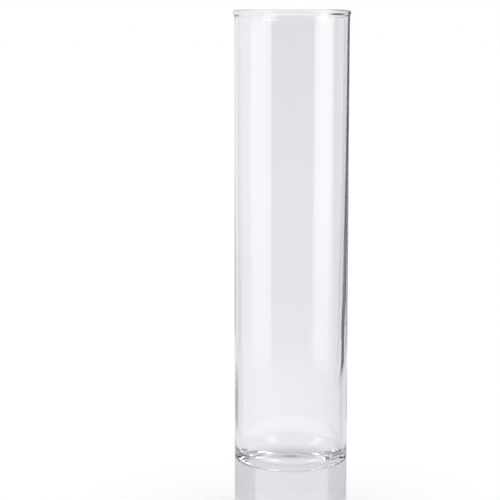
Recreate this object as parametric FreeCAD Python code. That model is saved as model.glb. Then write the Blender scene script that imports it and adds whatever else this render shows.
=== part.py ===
"""Glass cylinder vase, blown and pressed from one gather of clear glass, in millimetres.

+Z is the axis of revolution, and Z = 0 is the surface that the vase stands on.
The glass is written as five zones, each a solid of revolution, which meet face to
face on level planes: the rim, the straight wall, the thickening wall, the rounded
bowl of the cavity and the solid base.
"""
import FreeCAD, Part
import math
import os

# Driving dimensions: the whole vase
OUTER_RADIUS = 30.0
HEIGHT = 271.5

# Rim: a fire-polished lip, thicker than the wall and standing a little proud of it
RIM_HEIGHT = 3.5
RIM_PROUD = 0.6
RIM_SHOULDER = 1.8

# Wall: one thickness down to the taper, then swelling gently inwards to the bowl's thickness
WALL = 1.9
TAPER_TOP = 200.0
TAPER_BOTTOM = 88.0
WALL_AT_BOWL = 3.1

# Cavity bottom: a corner rolled round onto a shallow dished floor
FLOOR_LEVEL = 29.8
FLOOR_CURVE_RADIUS = 85.0
BOWL_RADIUS = 10.0

# Base: solid glass with a rounded heel, a flat ring to stand on and a push-up inside it
BASE_TOP = 28.0
HEEL_RADIUS = 4.5
RING_WIDTH = 3.5
PUSH_UP_HEIGHT = 1.5

# Worked out from the driving dimensions
BORE_RADIUS = OUTER_RADIUS - WALL
RIM_BOTTOM = HEIGHT - RIM_HEIGHT
LIP_RADIUS = (WALL + RIM_PROUD) / 2.0
BOWL_MOUTH_RADIUS = OUTER_RADIUS - WALL_AT_BOWL
RING_OUTER_RADIUS = OUTER_RADIUS - HEEL_RADIUS
RING_INNER_RADIUS = RING_OUTER_RADIUS - RING_WIDTH

# The corner of the bowl is tangent to the dished floor, so its centre lies on the line
# through the centre of the floor's sphere
BOWL_CENTRE_RADIUS = BOWL_MOUTH_RADIUS - BOWL_RADIUS
CENTRE_SPACING = FLOOR_CURVE_RADIUS - BOWL_RADIUS
CENTRE_DROP = math.sqrt(CENTRE_SPACING ** 2 - BOWL_CENTRE_RADIUS ** 2)
BOWL_TOP = FLOOR_LEVEL + FLOOR_CURVE_RADIUS - CENTRE_DROP


def at(radius, level):
    """A point of the half section, at a distance from the axis and a level."""
    return FreeCAD.Vector(radius, 0, level)


def on_circle(centre, radius, degrees):
    """A point of the half section on a circle, measured up from the outward direction."""
    turn = math.radians(degrees)
    return at(centre.x + radius * math.cos(turn), centre.z + radius * math.sin(turn))


def line(start, end):
    return Part.LineSegment(start, end).toShape()


def arc(start, middle, end):
    return Part.Arc(start, middle, end).toShape()


def spun(edges):
    """The solid that a closed half section sweeps in one turn about the axis."""
    face = Part.Face(Part.Wire(edges))
    solid = face.revolve(FreeCAD.Vector(0, 0, 0), FreeCAD.Vector(0, 0, 1), 360)
    if not solid.isValid() or solid.Volume <= 0:
        raise ValueError("a zone of the glass is not a sound solid")
    return solid


def rim_bead():
    """The lip: a round crest, and a shoulder that runs out onto the wall."""
    crest_centre = at(BORE_RADIUS + LIP_RADIUS, HEIGHT - LIP_RADIUS)
    crest_inner = on_circle(crest_centre, LIP_RADIUS, 180)
    crest_top = on_circle(crest_centre, LIP_RADIUS, 90)
    crest_outer = on_circle(crest_centre, LIP_RADIUS, 0)
    foot_inner = at(BORE_RADIUS, RIM_BOTTOM)
    foot_outer = at(OUTER_RADIUS, RIM_BOTTOM)
    shoulder_top = at(OUTER_RADIUS + RIM_PROUD, RIM_BOTTOM + RIM_SHOULDER)
    shoulder_radius = (RIM_PROUD ** 2 + RIM_SHOULDER ** 2) / (2.0 * RIM_PROUD)
    shoulder_centre = at(shoulder_top.x - shoulder_radius, shoulder_top.z)
    sweep = math.degrees(math.asin(RIM_SHOULDER / shoulder_radius))
    shoulder_middle = on_circle(shoulder_centre, shoulder_radius, -sweep / 2.0)
    return spun([
        line(foot_inner, crest_inner),
        arc(crest_inner, crest_top, crest_outer),
        line(crest_outer, shoulder_top),
        arc(shoulder_top, shoulder_middle, foot_outer),
        line(foot_outer, foot_inner),
    ])


def upright_blend(start, end):
    """A smooth curve between two points of the half section, upright at both of them."""
    third = (end.z - start.z) / 3.0
    curve = Part.BezierCurve()
    curve.setPoles([start, at(start.x, start.z + third), at(end.x, end.z - third), end])
    return curve.toShape()


def wall(inside):
    """A length of wall with a straight outside, from the edges of its inside going up."""
    low_inner = inside[0].Vertexes[0].Point
    high_inner = inside[-1].Vertexes[-1].Point
    high_outer = at(OUTER_RADIUS, high_inner.z)
    low_outer = at(OUTER_RADIUS, low_inner.z)
    return spun(inside + [
        line(high_inner, high_outer),
        line(high_outer, low_outer),
        line(low_outer, low_inner),
    ])


def straight_wall():
    return wall([line(at(BORE_RADIUS, TAPER_TOP), at(BORE_RADIUS, RIM_BOTTOM))])


def thickening_wall():
    """The lower wall: upright above the bowl, then thinning out to the straight wall."""
    bowl_mouth = at(BOWL_MOUTH_RADIUS, BOWL_TOP)
    taper_bottom = at(BOWL_MOUTH_RADIUS, TAPER_BOTTOM)
    taper_top = at(BORE_RADIUS, TAPER_TOP)
    return wall([line(bowl_mouth, taper_bottom), upright_blend(taper_bottom, taper_top)])


def cavity_bowl():
    """The bottom of the cavity: rolled corner, dished floor and the glass round them."""
    bowl_centre = at(BOWL_CENTRE_RADIUS, BOWL_TOP)
    floor_centre = at(0, FLOOR_LEVEL + FLOOR_CURVE_RADIUS)
    lean = math.degrees(math.asin(BOWL_CENTRE_RADIUS / CENTRE_SPACING))
    mouth = on_circle(bowl_centre, BOWL_RADIUS, 0)
    corner = on_circle(bowl_centre, BOWL_RADIUS, (lean - 90) / 2.0)
    tangent = on_circle(bowl_centre, BOWL_RADIUS, lean - 90)
    floor_middle = on_circle(floor_centre, FLOOR_CURVE_RADIUS, lean / 2.0 - 90)
    floor_centre_point = at(0, FLOOR_LEVEL)
    outer_top = at(OUTER_RADIUS, BOWL_TOP)
    outer_bottom = at(OUTER_RADIUS, BASE_TOP)
    axis_bottom = at(0, BASE_TOP)
    return spun([
        arc(floor_centre_point, floor_middle, tangent),
        arc(tangent, corner, mouth),
        line(mouth, outer_top),
        line(outer_top, outer_bottom),
        line(outer_bottom, axis_bottom),
        line(axis_bottom, floor_centre_point),
    ])


def solid_base():
    """The heavy foot: heel, bearing ring and push-up."""
    heel_centre = at(RING_OUTER_RADIUS, HEEL_RADIUS)
    heel_top = on_circle(heel_centre, HEEL_RADIUS, 0)
    heel_middle = on_circle(heel_centre, HEEL_RADIUS, -45)
    ring_outer = on_circle(heel_centre, HEEL_RADIUS, -90)
    ring_inner = at(RING_INNER_RADIUS, 0)
    dome_radius = (RING_INNER_RADIUS ** 2 + PUSH_UP_HEIGHT ** 2) / (2.0 * PUSH_UP_HEIGHT)
    dome_centre = at(0, PUSH_UP_HEIGHT - dome_radius)
    half_angle = math.degrees(math.asin(RING_INNER_RADIUS / dome_radius))
    dome_middle = on_circle(dome_centre, dome_radius, 90 - half_angle / 2.0)
    dome_top = at(0, PUSH_UP_HEIGHT)
    top_axis = at(0, BASE_TOP)
    top_outer = at(OUTER_RADIUS, BASE_TOP)
    return spun([
        line(top_axis, top_outer),
        line(top_outer, heel_top),
        arc(heel_top, heel_middle, ring_outer),
        line(ring_outer, ring_inner),
        arc(ring_inner, dome_middle, dome_top),
        line(dome_top, top_axis),
    ])


def main():
    zones = {
        "rim_bead": rim_bead(),
        "straight_wall": straight_wall(),
        "thickening_wall": thickening_wall(),
        "cavity_bowl": cavity_bowl(),
        "solid_base": solid_base(),
    }
    os.makedirs("parts", exist_ok=True)
    for name, solid in zones.items():
        solid.exportStep(os.path.join("parts", name + ".step"))
        print(name, round(solid.Volume), "mm3")


main()
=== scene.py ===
"""Looks of the glass cylinder vase: one lathed piece of clear glass in a white studio."""

import math

import bmesh
import bpy
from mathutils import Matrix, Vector


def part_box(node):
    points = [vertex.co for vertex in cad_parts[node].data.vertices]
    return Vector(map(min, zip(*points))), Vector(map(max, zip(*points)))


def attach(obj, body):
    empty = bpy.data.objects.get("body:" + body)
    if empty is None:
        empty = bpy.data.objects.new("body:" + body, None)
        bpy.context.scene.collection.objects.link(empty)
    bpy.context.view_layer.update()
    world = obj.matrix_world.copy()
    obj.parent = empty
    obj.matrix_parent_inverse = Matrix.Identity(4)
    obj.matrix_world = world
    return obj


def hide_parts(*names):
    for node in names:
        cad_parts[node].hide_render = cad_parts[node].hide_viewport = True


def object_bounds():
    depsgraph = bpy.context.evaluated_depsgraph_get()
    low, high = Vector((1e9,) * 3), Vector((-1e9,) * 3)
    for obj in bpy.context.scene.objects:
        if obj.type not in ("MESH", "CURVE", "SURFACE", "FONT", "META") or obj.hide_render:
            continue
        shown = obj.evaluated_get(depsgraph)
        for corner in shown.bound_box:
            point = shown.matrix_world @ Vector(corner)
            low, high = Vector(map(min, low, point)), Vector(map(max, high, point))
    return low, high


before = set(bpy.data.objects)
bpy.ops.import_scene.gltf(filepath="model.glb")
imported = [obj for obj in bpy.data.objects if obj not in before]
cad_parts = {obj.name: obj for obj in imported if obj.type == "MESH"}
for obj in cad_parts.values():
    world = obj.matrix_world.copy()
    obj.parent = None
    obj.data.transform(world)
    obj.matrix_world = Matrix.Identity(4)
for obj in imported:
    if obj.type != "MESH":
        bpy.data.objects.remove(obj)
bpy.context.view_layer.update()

MM = 0.001

# ---------------------------------------------------------------- sizes, from the frame
LOW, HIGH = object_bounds()
HEIGHT = HIGH.z - LOW.z
WALL_LOW, WALL_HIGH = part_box("straight_wall")
_, BOWL_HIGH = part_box("cavity_bowl")
_, RIM_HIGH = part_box("rim_bead")
OUTER_RADIUS = WALL_HIGH.x
RIM_RADIUS = RIM_HIGH.x
RIM_BOTTOM = WALL_HIGH.z

# ---------------------------------------------------------------- sizes of the section
WALL = 1.9 * MM
WALL_AT_BOWL = 3.1 * MM
TAPER_TOP = WALL_LOW.z
TAPER_BOTTOM = 88.0 * MM
BOWL_TOP = BOWL_HIGH.z
BOWL_RADIUS = 10.0 * MM
FLOOR_CURVE_RADIUS = 85.0 * MM
HEEL_RADIUS = 4.5 * MM
RING_WIDTH = 3.5 * MM
PUSH_UP_HEIGHT = 1.5 * MM
RIM_PROUD = RIM_RADIUS - OUTER_RADIUS
LIP_RADIUS = (WALL + RIM_PROUD) / 2.0
TURN_STEPS = 288

# Unevenness of the blown inside: how far it wanders, high up and where the wall thickens, and
# over what height it dies away at both ends
RIPPLE_HIGH = 0.01 * MM
RIPPLE_LOW = 0.03 * MM
RIPPLE_END = 20.0 * MM
# Its waves: share, waves in one turn, radians for each rise of RIPPLE_RISE, and radians at the start
RIPPLE_RISE = 100.0 * MM
RIPPLE_WAVES = [(0.5, 3.0, 1.5, 0.8), (0.3, 5.0, -4.0, 2.1), (0.2, 8.0, 7.0, 4.4)]

GLASS_INDEX = 1.52
GLASS_BODY_COLOUR = (0.79, 0.795, 0.81, 1.0)
GLASS_BODY_DENSITY = 10.0


def arc_points(centre, radius, start, end, steps):
    """Points of an arc in the half section, in degrees measured up from the outward direction."""
    points = []
    for i in range(steps + 1):
        turn = math.radians(start + (end - start) * i / steps)
        points.append((centre[0] + radius * math.cos(turn), centre[1] + radius * math.sin(turn)))
    return points


def smooth_step(t):
    """A share from 0 to 1 that starts and ends gently."""
    t = min(max(t, 0.0), 1.0)
    return t * t * (3.0 - 2.0 * t)


def base_section():
    """From the push-up's middle out over the bearing ring and round the heel."""
    ring_outer = OUTER_RADIUS - HEEL_RADIUS
    ring_inner = ring_outer - RING_WIDTH
    points = []
    steps = 24
    for i in range(steps + 1):
        share = i / steps
        points.append((ring_inner * share, PUSH_UP_HEIGHT * (1.0 - smooth_step(share))))
    points += [(ring_inner + RING_WIDTH * i / 4, 0.0) for i in range(1, 4)]
    points += arc_points((ring_outer, HEEL_RADIUS), HEEL_RADIUS, -90, 0, steps=14)
    return points


def outer_wall_section():
    """The straight outside, from above the heel to under the rim bead."""
    steps = 60
    low = HEEL_RADIUS
    high = RIM_BOTTOM
    return [(OUTER_RADIUS, low + (high - low) * i / steps) for i in range(1, steps)]


def rim_section():
    """The lip: from the outside wall over the bead and crest to the inside wall."""
    crest = (RIM_RADIUS - LIP_RADIUS, HEIGHT - LIP_RADIUS)
    shoulder = HEIGHT - LIP_RADIUS - RIM_BOTTOM
    points = []
    steps = 8
    for i in range(steps):
        share = i / steps
        points.append((OUTER_RADIUS + RIM_PROUD * smooth_step(share), RIM_BOTTOM + shoulder * share))
    points += arc_points(crest, LIP_RADIUS, 0, 180, steps=16)
    return points


def thickening(level):
    """How far the wall has grown at a level, from 0 in the straight wall to 1 at the bowl."""
    return smooth_step((TAPER_TOP - level) / (TAPER_TOP - TAPER_BOTTOM))


def inner_radius(level):
    """The cavity's radius: straight, then closing in smoothly over the thickening wall."""
    return OUTER_RADIUS - WALL - (WALL_AT_BOWL - WALL) * thickening(level)


def ripple(turn, level):
    """How far the blown inside wanders from true, by the turn about the axis and the level."""
    away = min(level - BOWL_TOP, RIM_BOTTOM - level)
    reach = RIPPLE_HIGH + (RIPPLE_LOW - RIPPLE_HIGH) * thickening(level)
    rise = level / RIPPLE_RISE
    wander = 0.0
    for share, waves, climb, start in RIPPLE_WAVES:
        wander += share * math.sin(waves * turn + climb * rise + start)
    return wander * reach * smooth_step(away / RIPPLE_END)


def inner_wall_section():
    """The cavity's wall, from the rim's crest down to the bowl, with the unevenness that it carries."""
    steps = 90
    high = HEIGHT - LIP_RADIUS
    levels = [high + (BOWL_TOP - high) * i / steps for i in range(1, steps)]
    return [(inner_radius(level), level, ripple) for level in levels]


def bowl_section():
    """The rolled corner of the cavity and its shallow dished floor, to the axis."""
    mouth = OUTER_RADIUS - WALL_AT_BOWL
    centre = (mouth - BOWL_RADIUS, BOWL_TOP)
    spacing = FLOOR_CURVE_RADIUS - BOWL_RADIUS
    lean = math.degrees(math.asin(centre[0] / spacing))
    sphere = (0.0, BOWL_TOP + math.sqrt(spacing ** 2 - centre[0] ** 2))
    points = arc_points(centre, BOWL_RADIUS, 0, lean - 90, steps=22)
    points += arc_points(sphere, FLOOR_CURVE_RADIUS, lean - 90, -90, steps=12)[1:]
    return points


def lathe(name, section):
    """One closed skin from a half section whose first and last points lie on the axis."""
    bm = bmesh.new()
    first = bm.verts.new((0.0, 0.0, section[0][1]))
    last = bm.verts.new((0.0, 0.0, section[-1][1]))
    rings = []
    for radius, level, *wander in section[1:-1]:
        ring = []
        for i in range(TURN_STEPS):
            turn = math.tau * i / TURN_STEPS
            reach = radius + sum(uneven(turn, level) for uneven in wander)
            ring.append(bm.verts.new((reach * math.cos(turn), reach * math.sin(turn), level)))
        rings.append(ring)
    for i in range(TURN_STEPS):
        j = (i + 1) % TURN_STEPS
        bm.faces.new((first, rings[0][j], rings[0][i]))
        bm.faces.new((last, rings[-1][i], rings[-1][j]))
        for low, high in zip(rings, rings[1:]):
            bm.faces.new((low[i], low[j], high[j], high[i]))
    bmesh.ops.recalc_face_normals(bm, faces=bm.faces)
    mesh = bpy.data.meshes.new(name)
    bm.to_mesh(mesh)
    bm.free()
    mesh.shade_smooth()
    piece = bpy.data.objects.new(name, mesh)
    bpy.context.scene.collection.objects.link(piece)
    return piece


def glass_material():
    """Clear glass whose body takes a little light, so that the thick base is darker than the wall."""
    material = bpy.data.materials.new("clear_glass")
    material.use_nodes = True
    nodes = material.node_tree.nodes
    links = material.node_tree.links
    shader = nodes["Principled BSDF"]
    shader.inputs["Base Color"].default_value = (1.0, 1.0, 1.0, 1.0)
    shader.inputs["Roughness"].default_value = 0.0
    shader.inputs["IOR"].default_value = GLASS_INDEX
    shader.inputs["Transmission Weight"].default_value = 1.0
    body = nodes.new("ShaderNodeVolumeAbsorption")
    body.inputs["Color"].default_value = GLASS_BODY_COLOUR
    body.inputs["Density"].default_value = GLASS_BODY_DENSITY
    links.new(body.outputs["Volume"], nodes["Material Output"].inputs["Volume"])
    return material


section = base_section() + outer_wall_section() + rim_section() + inner_wall_section() + bowl_section()
vase = lathe("vase_glass", section)
vase.data.materials.append(glass_material())
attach(vase, "root")
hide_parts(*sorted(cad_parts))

# ---------------------------------------------------------------- studio
# The room as the glass meets it, by direction. Degrees go round from the front of the
# vase, where the camera stands, towards +X, and up from the level. Seen straight through
# the glass the room is a white sweep. Mirrored in the glass it is a dark room in front, a
# tall softbox on each side, dim walls between those and the sweep, and a black flag that
# stands beside the sweep on the +X side. Below all that is the table top.
FLOOR_RADIUS = 40.0
# The floor lies a hair under the foot, so that the two faces do not share a plane
FLOOR_DROP = 0.10 * MM
FLOOR_COLOUR = (0.96, 0.96, 0.96, 1.0)
FLOOR_LIGHT = (1.16, 1.16, 1.16, 1.0)
WHITE = (1.0, 1.0, 1.0, 1.0)

ROOM_MIRRORED = [
    (-180, (0.74, 0.74, 0.77)),
    (-93.7, (0.74, 0.74, 0.77)),
    (-92.3, (1.15, 1.15, 1.15)),
    (-58, (1.20, 1.20, 1.20)),
    (-55, (0.98, 0.98, 0.98)),
    (-43.3, (0.98, 0.98, 0.98)),
    (-42.3, (0.02, 0.02, 0.03)),
    (46.8, (0.02, 0.02, 0.03)),
    (47.8, (1.06, 1.06, 1.06)),
    (59, (1.06, 1.06, 1.06)),
    (61.5, (1.34, 1.34, 1.31)),
    (67, (1.24, 1.24, 1.21)),
    (92.3, (1.24, 1.24, 1.21)),
    (93.7, (0.18, 0.18, 0.20)),
    (103, (0.20, 0.20, 0.22)),
    (110, (0.27, 0.27, 0.29)),
    (120, (0.54, 0.54, 0.57)),
    (180, (0.54, 0.54, 0.57)),
]
# Where the sweep behind the vase closes the room
SWEEP_MIRRORED = [(-180, 1.0), (-146, 1.0), (-136, 0.0), (136, 0.0), (146, 1.0), (180, 1.0)]
SWEEP_COLOUR = (0.84, 0.84, 0.88, 1.0)
# Above the level the softboxes stand before a pale ceiling, which is plain right overhead
CEILING_MIRRORED = [
    (-180, (0.90, 0.90, 0.93)),
    (-90, (0.80, 0.80, 0.83)),
    (-63, (0.70, 0.70, 0.73)),
    (-61, (3.00, 3.00, 3.00)),
    (-33, (3.00, 3.00, 3.00)),
    (-31, (0.60, 0.60, 0.63)),
    (0, (0.50, 0.50, 0.53)),
    (57, (0.65, 0.65, 0.68)),
    (59, (3.60, 3.60, 3.60)),
    (80, (3.60, 3.60, 3.60)),
    (82, (0.80, 0.80, 0.83)),
    (180, (0.90, 0.90, 0.93)),
]
OVERHEAD_EDGE = [(-90, 0.0), (48.0, 0.0), (52.0, 1.0), (90, 1.0)]
OVERHEAD_COLOUR = (0.80, 0.80, 0.83, 1.0)
TABLE_MIRRORED = [
    (-180, (0.84, 0.84, 0.88)),
    (-140, (0.80, 0.80, 0.84)),
    (-90, (0.48, 0.48, 0.51)),
    (-45, (0.42, 0.42, 0.45)),
    (0, (0.28, 0.28, 0.31)),
    (45, (0.20, 0.20, 0.23)),
    (100, (0.20, 0.20, 0.23)),
    (140, (0.74, 0.74, 0.78)),
    (180, (0.84, 0.84, 0.88)),
]
# Close under the vase the table is equally bright all round
TABLE_CLOSE = [(-90, 1.0), (-30.0, 1.0), (-24.0, 0.0), (90, 0.0)]
TABLE_CLOSE_COLOUR = (0.80, 0.80, 0.83, 1.0)
# Two thin shades that lie on the far part of the table, behind the vase, one on each side
TABLE_SHADES = [
    (-180, 1.0),
    (-164, 1.0),
    (-161, 0.1),
    (-154, 0.1),
    (-151, 1.0),
    (164, 1.0),
    (166, 0.1),
    (171, 0.1),
    (173, 1.0),
    (180, 1.0),
]
# How bright the mirrored room is by level, and at what levels the table, its two shades and the
# ceiling take over from it
ROOM_FADE = [(-90, 0.80), (-10, 0.82), (-7.5, 0.87), (-5.5, 0.92), (-2, 1.04), (0, 1.12), (90, 1.12)]
TABLE_EDGE = [(-90, 1.0), (-12.0, 1.0), (-11.1, 0.0), (90, 0.0)]
SHADES_EDGE = [(-90, 0.0), (-14.1, 0.0), (-13.5, 1.0), (-12.1, 1.0), (-11.7, 0.0), (90, 0.0)]
CEILING_EDGE = [(-90, 0.0), (5.0, 0.0), (9.0, 1.0), (90, 1.0)]
# The black flag that stands beside the sweep on the +X side, and the slanted arm that holds
# it: rows of degrees up, and degrees round to the near and to the far edge. A row whose near
# edge lies past its far edge is empty.
FLAG_UPRIGHT = [
    (-11.7, 150, 130),
    (-11.6, 130, 147),
    (-11.0, 139, 157),
    (-6.0, 144, 163),
    (0.0, 150, 170),
]
FLAG_ARM = [
    (-12.6, 125, 108),
    (-12.5, 113, 124),
    (-11.5, 138, 150),
    (-11.4, 160, 130),
]
FLAG_SOFTNESS = 0.6
FLAG_COLOUR = (0.012, 0.012, 0.015, 1.0)
# Rays that have passed more faces of glass than this have crossed the whole vase, and they meet
# the room turned round and a little smaller
FACES_PASSED = 3.5
TURNED_ROOM = -0.935
# The white sweep and table seen through the glass, by level
SWEEP_THROUGH = [
    (-90, (0.62, 0.62, 0.645)),
    (-62, (0.66, 0.66, 0.685)),
    (-48, (0.80, 0.80, 0.83)),
    (-36, (0.88, 0.88, 0.915)),
    (-15.2, (0.905, 0.905, 0.940)),
    (-14.6, (0.960, 0.960, 1.000)),
    (-12.8, (0.972, 0.972, 1.010)),
    (-10.8, (0.945, 0.945, 0.982)),
    (-10.1, (0.924, 0.924, 0.960)),
    (-6, (0.930, 0.930, 0.970)),
    (1, (0.865, 0.865, 0.902)),
    (90, (0.865, 0.865, 0.902)),
]
# Dark gaps on the +X side: a narrow one over the sweep, seen through the glass, and one on the
# table close by, mirrored in it
GAP_COLOUR = (0.05, 0.05, 0.06, 1.0)
HIGH_GAP_SIDES = [(-180, 0.0), (125, 0.0), (130, 1.0), (173.2, 1.0), (174.6, 0.0), (180, 0.0)]
HIGH_GAP_LEVELS = [(-90, 0.0), (11.2, 0.0), (12.2, 1.0), (14.6, 1.0), (15.6, 0.0), (90, 0.0)]
TABLE_GAP_SIDES = [(-180, 0.0), (92, 0.0), (96, 1.0), (146, 1.0), (150, 0.0), (180, 0.0)]
TABLE_GAP_LEVELS = [(-90, 0.0), (-40, 0.0), (-35, 1.0), (-19.0, 1.0), (-17.0, 0.0), (90, 0.0)]
# How the room seen through the glass darkens away from the sweep's middle
SWEEP_SIDES = [
    (-180, 1.00),
    (-151, 1.00),
    (-148, 0.85),
    (-90, 0.80),
    (90, 0.80),
    (148, 0.85),
    (151, 1.00),
    (180, 1.00),
]


def ramp(tree, values, stops, low, high):
    """A colour ramp over a range of degrees, with stops given in degrees."""
    node = tree.nodes.new("ShaderNodeValToRGB")
    elements = node.color_ramp.elements
    while len(elements) > 1:
        elements.remove(elements[-1])
    for i, (degrees, colour) in enumerate(stops):
        element = elements[0] if i == 0 else elements.new(1.0)
        element.position = (degrees - low) / (high - low)
        element.color = (*colour, 1.0) if isinstance(colour, tuple) else (colour, colour, colour, 1.0)
    scale = tree.nodes.new("ShaderNodeMapRange")
    scale.inputs["From Min"].default_value = math.radians(low)
    scale.inputs["From Max"].default_value = math.radians(high)
    tree.links.new(values, scale.inputs["Value"])
    tree.links.new(scale.outputs["Result"], node.inputs["Fac"])
    return node.outputs["Color"]


def math_node(tree, operation, *values):
    """A sum on numbers or other nodes' results, as a node."""
    node = tree.nodes.new("ShaderNodeMath")
    node.operation = operation
    for socket, value in zip(node.inputs, values):
        if isinstance(value, (int, float)):
            socket.default_value = value
        else:
            tree.links.new(value, socket)
    return node.outputs["Value"]


# A Mix node's sockets by number, because those for numbers and for colours share their names
MIX_SHARE, MIX_FIRST, MIX_SECOND = 0, 6, 7
MIX_RESULT = 2


def mix(tree, blend, share, first, second):
    """Two colours brought together by a share."""
    node = tree.nodes.new("ShaderNodeMix")
    node.data_type = "RGBA"
    node.blend_type = blend
    for number, value in ((MIX_SHARE, share), (MIX_FIRST, first), (MIX_SECOND, second)):
        if isinstance(value, (int, float, tuple)):
            node.inputs[number].default_value = value
        else:
            tree.links.new(value, node.inputs[number])
    return node.outputs[MIX_RESULT]


def edge_at(tree, level, stops):
    """The azimuth of an edge by its level; stops are degrees up and degrees round, 0 to 180."""
    low = stops[0][0]
    high = stops[-1][0]
    place = ramp(tree, level, [(up, degrees / 180) for up, degrees in stops], low, high)
    return math_node(tree, "MULTIPLY", place, math.pi)


def screen(tree, azimuth, level, rows):
    """How far a direction lies on a screen that is given by its rows."""
    past_near = math_node(tree, "SUBTRACT", azimuth, edge_at(tree, level, [row[:2] for row in rows]))
    before_far = math_node(tree, "SUBTRACT", edge_at(tree, level, [row[::2] for row in rows]), azimuth)
    inside = math_node(tree, "MINIMUM", past_near, before_far)
    share = math_node(tree, "MULTIPLY_ADD", inside, 1.0 / math.radians(FLAG_SOFTNESS), 0.5)
    return math_node(tree, "MINIMUM", math_node(tree, "MAXIMUM", share, 0.0), 1.0)


def round_about(tree, azimuth, stops):
    """A colour by how far round a direction lies."""
    return ramp(tree, azimuth, stops, -180, 180)


def up_and_down(tree, elevation, stops):
    """A colour by how far up a direction lies."""
    return ramp(tree, elevation, stops, -90, 90)


def patch(tree, azimuth, sides, elevation, levels):
    """How far a direction lies in a patch of the room, from where it starts and ends both ways."""
    across = round_about(tree, azimuth, sides)
    return math_node(tree, "MULTIPLY", across, up_and_down(tree, elevation, levels))


def mirrored_table(tree, azimuth, elevation):
    """The table top as the glass mirrors it, with its shades and its dark gap."""
    table = round_about(tree, azimuth, TABLE_MIRRORED)
    shades = round_about(tree, azimuth, TABLE_SHADES)
    table = mix(tree, "MULTIPLY", up_and_down(tree, elevation, SHADES_EDGE), table, shades)
    table = mix(tree, "MIX", up_and_down(tree, elevation, TABLE_CLOSE), table, TABLE_CLOSE_COLOUR)
    gap = patch(tree, azimuth, TABLE_GAP_SIDES, elevation, TABLE_GAP_LEVELS)
    return mix(tree, "MIX", gap, table, GAP_COLOUR)


def mirrored_room(tree, azimuth, elevation):
    """All that the glass mirrors: walls and softboxes, sweep, table, flag and ceiling."""
    walls = round_about(tree, azimuth, ROOM_MIRRORED)
    room = mix(tree, "MULTIPLY", 1.0, walls, up_and_down(tree, elevation, ROOM_FADE))
    room = mix(tree, "MIX", round_about(tree, azimuth, SWEEP_MIRRORED), room, SWEEP_COLOUR)
    table = mirrored_table(tree, azimuth, elevation)
    room = mix(tree, "MIX", up_and_down(tree, elevation, TABLE_EDGE), room, table)
    upright = screen(tree, azimuth, elevation, FLAG_UPRIGHT)
    arm = screen(tree, azimuth, elevation, FLAG_ARM)
    room = mix(tree, "MIX", math_node(tree, "MAXIMUM", upright, arm), room, FLAG_COLOUR)
    ceiling = round_about(tree, azimuth, CEILING_MIRRORED)
    ceiling = mix(tree, "MIX", up_and_down(tree, elevation, OVERHEAD_EDGE), ceiling, OVERHEAD_COLOUR)
    return mix(tree, "MIX", up_and_down(tree, elevation, CEILING_EDGE), room, ceiling)


def room_through(tree, azimuth, elevation):
    """What is seen straight through the glass: the sweep, with a dark gap over it."""
    sweep = up_and_down(tree, elevation, SWEEP_THROUGH)
    room = mix(tree, "MULTIPLY", 1.0, sweep, round_about(tree, azimuth, SWEEP_SIDES))
    gap = patch(tree, azimuth, HIGH_GAP_SIDES, elevation, HIGH_GAP_LEVELS)
    return mix(tree, "MIX", gap, room, GAP_COLOUR)


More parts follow.
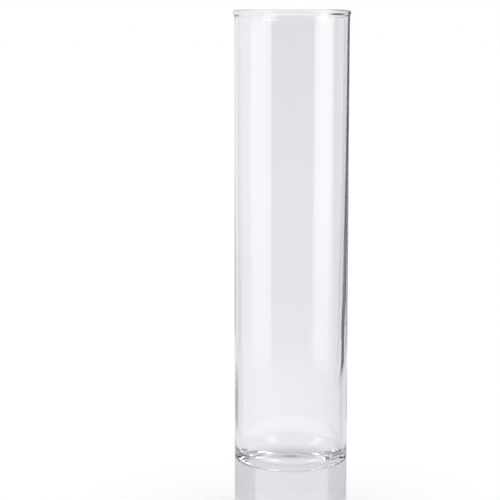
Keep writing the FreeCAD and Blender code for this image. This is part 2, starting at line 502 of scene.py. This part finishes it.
def studio_world():
    """The room as a background: mirrored or seen through, even light for the floor, white past the vase."""
    world = bpy.data.worlds.new("studio")
    bpy.context.scene.world = world
    world.use_nodes = True
    tree = world.node_tree
    place = tree.nodes.new("ShaderNodeTexCoord")
    split = tree.nodes.new("ShaderNodeSeparateXYZ")
    path = tree.nodes.new("ShaderNodeLightPath")
    tree.links.new(place.outputs["Generated"], split.inputs["Vector"])
    towards_front = math_node(tree, "MULTIPLY", split.outputs["Y"], -1.0)
    azimuth = math_node(tree, "ARCTAN2", split.outputs["X"], towards_front)
    elevation = math_node(tree, "ARCSINE", split.outputs["Z"])
    has_crossed = math_node(tree, "GREATER_THAN", path.outputs["Transmission Depth"], FACES_PASSED)
    turned = math_node(tree, "MULTIPLY_ADD", has_crossed, TURNED_ROOM - 1.0, 1.0)
    mirrored = mirrored_room(tree, math_node(tree, "MULTIPLY", azimuth, turned), elevation)
    is_mirrored = math_node(tree, "GREATER_THAN", path.outputs["Glossy Depth"], 0.5)
    is_floor_light = math_node(tree, "GREATER_THAN", path.outputs["Diffuse Depth"], 0.5)
    room = mix(tree, "MIX", is_mirrored, room_through(tree, azimuth, elevation), mirrored)
    room = mix(tree, "MIX", is_floor_light, room, FLOOR_LIGHT)
    room = mix(tree, "MIX", path.outputs["Is Camera Ray"], room, WHITE)
    tree.links.new(room, tree.nodes["Background"].inputs["Color"])


def floor_material():
    """Plain matt white."""
    material = bpy.data.materials.new("floor_white")
    material.use_nodes = True
    shader = material.node_tree.nodes["Principled BSDF"]
    shader.inputs["Base Color"].default_value = FLOOR_COLOUR
    shader.inputs["Roughness"].default_value = 1.0
    shader.inputs["Specular IOR Level"].default_value = 0.0
    return material


def disc(name, radius, level, material):
    """A round sheet about the axis that belongs to the stage and not to the vase."""
    bm = bmesh.new()
    bmesh.ops.create_circle(bm, cap_ends=True, segments=128, radius=radius)
    mesh = bpy.data.meshes.new(name)
    bm.to_mesh(mesh)
    bm.free()
    mesh.materials.append(material)
    piece = bpy.data.objects.new(name, mesh)
    piece.location = (0.0, 0.0, level)
    bpy.context.scene.collection.objects.link(piece)
    return piece


floor = disc("floor", FLOOR_RADIUS, LOW.z - FLOOR_DROP, floor_material())
floor.visible_transmission = False
floor.visible_glossy = False
studio_world()

# ---------------------------------------------------------------- camera
CAMERA_PLACE = Vector((-0.02179, -0.8344, 0.2567))
CAMERA_PITCH = 7.54
LENS = 114.8
SENSOR_WIDTH = 36.0

camera = bpy.data.objects.new("camera", bpy.data.cameras.new("camera"))
camera.location = CAMERA_PLACE
camera.rotation_euler = (math.radians(90.0 - CAMERA_PITCH), 0.0, 0.0)
camera.data.lens = LENS
camera.data.sensor_width = SENSOR_WIDTH
camera.data.clip_start = 0.01
camera.data.clip_end = 100.0
bpy.context.scene.collection.objects.link(camera)
bpy.context.scene.camera = camera
bpy.context.scene.view_settings.view_transform = "Standard"

# Light that is trapped in the thick base turns many times before it leaves
LIGHT_BOUNCES = 40
light_paths = bpy.context.scene.cycles
light_paths.max_bounces = LIGHT_BOUNCES
light_paths.glossy_bounces = LIGHT_BOUNCES
light_paths.transmission_bounces = LIGHT_BOUNCES
